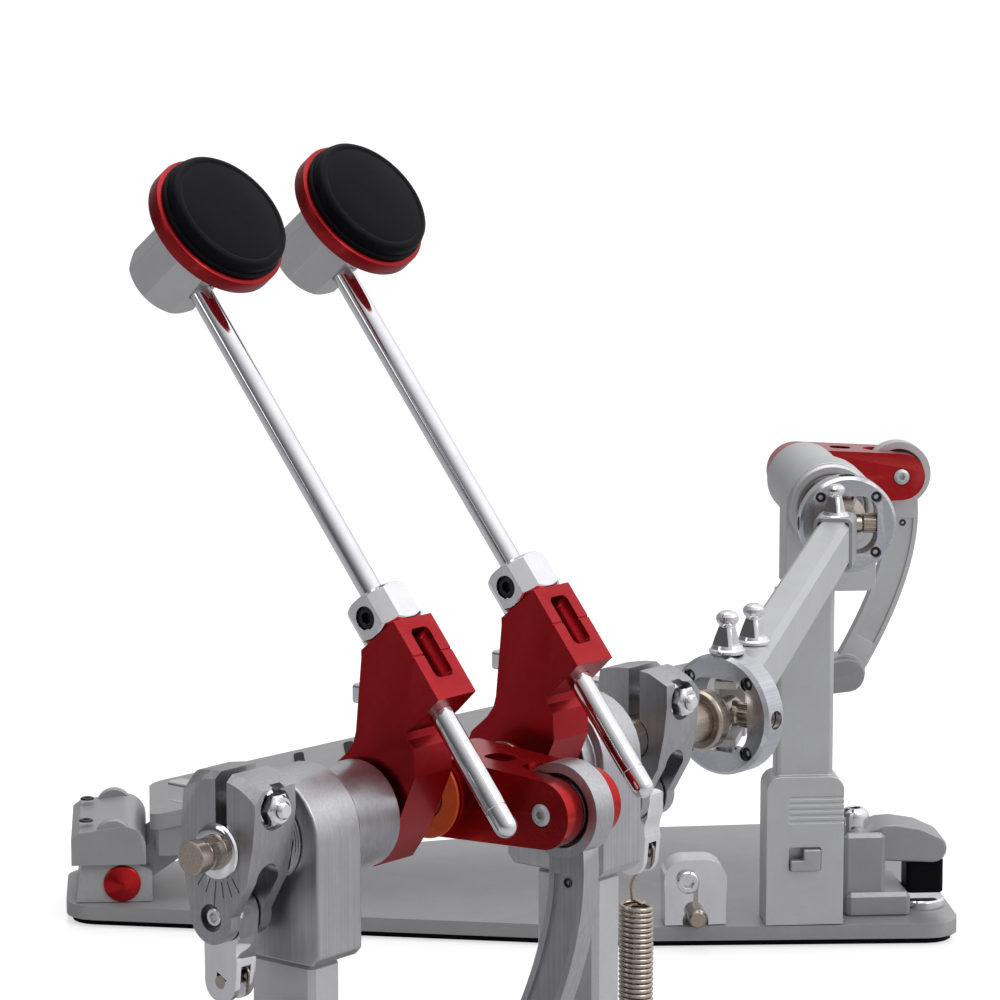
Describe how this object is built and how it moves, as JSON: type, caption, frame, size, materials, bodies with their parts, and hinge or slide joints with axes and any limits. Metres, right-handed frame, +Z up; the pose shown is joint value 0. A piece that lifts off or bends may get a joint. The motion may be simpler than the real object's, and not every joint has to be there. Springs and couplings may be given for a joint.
{
  "type": "double bass drum pedal",
  "caption": "Double bass drum pedal: two footboards drive two beaters through arms and links, with a telescopic shaft between the pedals.",
  "frame": {"origin": "on the floor under the middle of the primary pedal axle line", "axes": "+X to the drummer's right along the primary axles, +Y toward the drum, +Z up"},
  "size_m": [0.8963, 0.6707, 0.433],
  "materials": {
    "red_anodised": "anodised, satin gloss",
    "satin_aluminium": "satin",
    "cast_aluminium": "cast and brushed",
    "chrome": "polished",
    "nickel_steel": "nickel plated",
    "black_rubber": "matt"
  },
  "bodies": {
    "primary_frame": {"primary_floor_pad": "black_rubber", "primary_base_plate": "cast_aluminium", "primary_heel_block": "cast_aluminium", "primary_heel_plate": "cast_aluminium", "primary_heel_pin": "red_anodised", "right_post": "satin_aluminium", "left_post": "satin_aluminium", "right_housing": "satin_aluminium", "left_housing": "satin_aluminium", "right_spring_adjuster": "nickel_steel", "left_spring_adjuster": "nickel_steel"},
    "right_axle_set": {"right_axle": "nickel_steel", "right_hub": "red_anodised", "right_hub_bolt": "chrome", "right_collar": "chrome", "right_beater_rod": "chrome", "right_beater_body": "satin_aluminium", "right_beater_ring": "red_anodised", "right_beater_pad": "black_rubber", "right_spring_cam": "satin_aluminium", "right_cam_bolt": "chrome", "primary_drive_arm": "red_anodised", "primary_arm_pin": "chrome"},
    "primary_link_set": {"primary_link": "satin_aluminium"},
    "primary_board_set": {"primary_footboard": "cast_aluminium"},
    "left_axle_set": {"left_axle": "nickel_steel", "left_hub": "red_anodised", "left_hub_bolt": "chrome", "left_collar": "chrome", "left_beater_rod": "chrome", "left_beater_body": "satin_aluminium", "left_beater_ring": "red_anodised", "left_beater_pad": "black_rubber", "left_spring_cam": "satin_aluminium", "left_cam_bolt": "chrome"},
    "right_spring_set": {"right_spring": "nickel_steel"},
    "left_spring_set": {"left_spring": "nickel_steel"},
    "right_swivel_set": {"right_spring_swivel": "chrome"},
    "left_swivel_set": {"left_spring_swivel": "chrome"},
    "inner_ring_set": {"inner_joint_ring": "satin_aluminium"},
    "drive_tube_set": {"drive_shaft_tube": "satin_aluminium", "drive_shaft_thumb_bolt": "chrome"},
    "slave_frame": {"slave_floor_pad": "black_rubber", "slave_base_plate": "cast_aluminium", "slave_heel_block": "cast_aluminium", "slave_heel_plate": "cast_aluminium", "slave_heel_pin": "red_anodised", "slave_post": "satin_aluminium", "slave_housing": "satin_aluminium", "slave_side_bracket": "chrome"},
    "drive_rod_set": {"drive_shaft_rod": "nickel_steel"},
    "slave_axle_set": {"slave_axle": "nickel_steel", "slave_drive_arm": "red_anodised", "slave_arm_pin": "chrome"},
    "outer_ring_set": {"outer_joint_ring": "satin_aluminium"},
    "slave_link_set": {"slave_link": "satin_aluminium"},
    "slave_board_set": {"slave_footboard": "cast_aluminium"},
    "primary_jaw_set": {"primary_hoop_jaw": "cast_aluminium"},
    "slave_jaw_set": {"slave_hoop_jaw": "cast_aluminium"},
    "button_set": {"slave_release_button": "satin_aluminium"}
  },
  "joints": [
    {"name": "right_axle_turn", "type": "hinge", "parent": "primary_frame", "child": "right_axle_set", "pos_m": [0, 0, 0.217], "axis": [-1, 0, 0], "range_deg": [-4, 40], "stiffness_Nm_per_rad": 1.5, "springref_deg": -4.96},
    {"name": "primary_arm_to_link", "type": "hinge", "parent": "right_axle_set", "child": "primary_link_set", "pos_m": [0, 0.05, 0.217], "axis": [-1, 0, 0], "range_deg": [-50.1, 5.28]},
    {"name": "primary_board_tilt", "type": "hinge", "parent": "primary_frame", "child": "primary_board_set", "pos_m": [0, -0.343, 0.02], "axis": [-1, 0, 0], "range_deg": [-0.86, 5.86]},
    {"name": "left_axle_turn", "type": "hinge", "parent": "primary_frame", "child": "left_axle_set", "pos_m": [0, 0, 0.217], "axis": [-1, 0, 0], "range_deg": [-4, 40], "stiffness_Nm_per_rad": 1.5, "springref_deg": -5.51},
    {"name": "right_spring_tilt", "type": "hinge", "parent": "primary_frame", "child": "right_spring_set", "pos_m": [0.10975, -0.0045, 0.062], "axis": [1, 0, 0], "range_deg": [-0.9, 6.3]},
    {"name": "right_spring_stretch", "type": "slide", "parent": "right_spring_set", "child": "right_swivel_set", "axis": [0, 0.0076, 1], "range_m": [-0.00093, 0.00747], "deforming": ["right_spring"]},
    {"name": "left_spring_tilt", "type": "hinge", "parent": "primary_frame", "child": "left_spring_set", "pos_m": [-0.10975, -0.0045, 0.062], "axis": [1, 0, 0], "range_deg": [-0.9, 6.3]},
    {"name": "left_spring_stretch", "type": "slide", "parent": "left_spring_set", "child": "left_swivel_set", "axis": [0, 0.0076, 1], "range_m": [-0.00093, 0.00747], "deforming": ["left_spring"]},
    {"name": "inner_ring_tilt", "type": "hinge", "parent": "left_axle_set", "child": "inner_ring_set", "pos_m": [-0.1588, 0, 0.217], "axis": [0, -1, 0], "range_deg": [-2.31, 20.42]},
    {"name": "drive_tube_turn", "type": "hinge", "parent": "primary_frame", "child": "drive_tube_set", "pos_m": [-0.1588, 0, 0.217], "axis": [-0.8757, -0.4828, 0], "range_deg": [-4.72, 44.52]},
    {"name": "shaft_telescope", "type": "slide", "parent": "primary_frame", "child": "slave_frame", "axis": [-0.8757, -0.4828, 0], "range_m": [-0.008, 0.06]},
    {"name": "drive_rod_turn", "type": "hinge", "parent": "slave_frame", "child": "drive_rod_set", "pos_m": [-0.53799, -0.20906, 0.217], "axis": [-0.8757, -0.4828, 0], "range_deg": [-4.72, 44.52]},
    {"name": "slave_axle_turn", "type": "hinge", "parent": "slave_frame", "child": "slave_axle_set", "pos_m": [-0.53799, -0.20906, 0.217], "axis": [-0.7193, -0.6947, 0], "range_deg": [-4.61, 43.38]},
    {"name": "outer_ring_tilt", "type": "hinge", "parent": "slave_axle_set", "child": "outer_ring_set", "pos_m": [-0.53799, -0.20906, 0.217], "axis": [-0.6947, 0.7193, 0], "range_deg": [-1.38, 11.06]},
    {"name": "slave_arm_to_link", "type": "hinge", "parent": "slave_axle_set", "child": "slave_link_set", "pos_m": [-0.68062, -0.2773, 0.217], "axis": [-0.7193, -0.6947, 0], "range_deg": [-54.15, 5.68]},
    {"name": "slave_board_tilt", "type": "hinge", "parent": "slave_frame", "child": "slave_board_set", "pos_m": [-0.40762, -0.56, 0.02], "axis": [-0.7193, -0.6947, 0], "range_deg": [-0.89, 6.2]},
    {"name": "primary_jaw_open", "type": "hinge", "parent": "primary_frame", "child": "primary_jaw_set", "pos_m": [0, 0.02, 0.044], "axis": [1, 0, 0], "range_deg": [0, 20]},
    {"name": "slave_jaw_open", "type": "hinge", "parent": "slave_frame", "child": "slave_jaw_set", "pos_m": [-0.60943, -0.25025, 0.044], "axis": [0.7193, 0.6947, 0], "range_deg": [0, 20]},
    {"name": "release_button_press", "type": "slide", "parent": "slave_frame", "child": "button_set", "axis": [-0.7193, -0.6947, 0], "range_m": [0, 0.003], "stiffness_N_per_m": 600}
  ],
  "couplings": [
    {"joint": "primary_arm_to_link", "follows": "right_axle_turn", "ratio": -1.245},
    {"joint": "primary_board_tilt", "follows": "right_axle_turn", "ratio": 0.139},
    {"joint": "right_spring_tilt", "follows": "right_axle_turn", "ratio": 0.15},
    {"joint": "right_spring_stretch", "follows": "right_axle_turn", "m_per_rad": 0.01042},
    {"joint": "left_spring_tilt", "follows": "left_axle_turn", "ratio": 0.15},
    {"joint": "left_spring_stretch", "follows": "left_axle_turn", "m_per_rad": 0.01042},
    {"joint": "inner_ring_tilt", "follows": "left_axle_turn", "ratio": 0.503},
    {"joint": "drive_tube_turn", "follows": "left_axle_turn", "ratio": 1.1055},
    {"joint": "drive_rod_turn", "follows": "left_axle_turn", "ratio": 1.1055},
    {"joint": "slave_axle_turn", "follows": "left_axle_turn", "ratio": 1.077},
    {"joint": "outer_ring_tilt", "follows": "left_axle_turn", "ratio": 0.269},
    {"joint": "slave_arm_to_link", "follows": "left_axle_turn", "ratio": -1.3462},
    {"joint": "slave_board_tilt", "follows": "left_axle_turn", "ratio": 0.14755}
  ]
}
